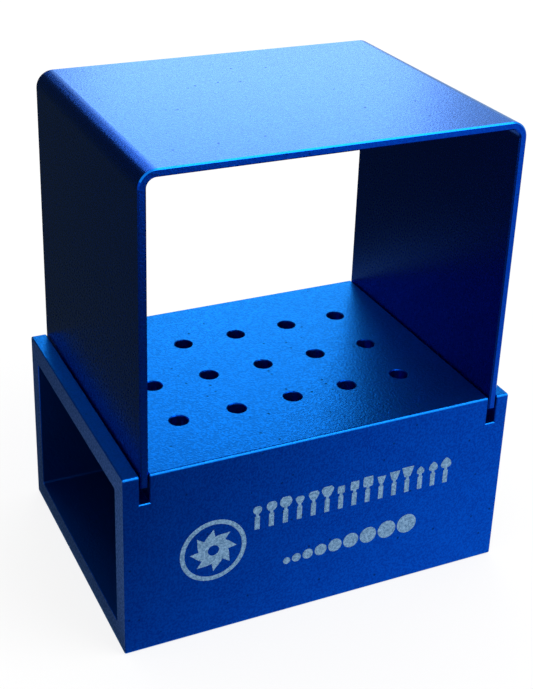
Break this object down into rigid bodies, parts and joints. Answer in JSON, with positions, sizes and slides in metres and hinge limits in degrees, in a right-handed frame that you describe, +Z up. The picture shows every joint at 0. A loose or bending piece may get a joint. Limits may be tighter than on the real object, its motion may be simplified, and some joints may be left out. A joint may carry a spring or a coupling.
{
  "type": "dental bur block",
  "caption": "Block of rectangular tube, drilled with rows of holes that hold dental burs upright, with a bent sheet hood standing in slots at its ends.",
  "frame": {"origin": "centre of the block's underside, on the surface it stands on", "axes": "+X along the tube, from the left open end to the right one; +Y to the back; +Z up"},
  "size_m": [0.053, 0.0382, 0.063],
  "materials": {
    "blue_anodised_block": "bead-blasted and anodised blue, satin; sawn ends a greyer blue",
    "blue_anodised_hood": "bead-blasted and anodised blue, satin",
    "laser_etched": "laser-etched through the dye, matt silver grey"
  },
  "bodies": {
    "block": {"bur_block": "blue_anodised_block"},
    "hood": {"hood": "blue_anodised_hood"}
  },
  "joints": [
    {"name": "hood_lift", "type": "slide", "parent": "block", "child": "hood", "axis": [0, 0, 1], "range_m": [-0.002, 0.006]}
  ]
}
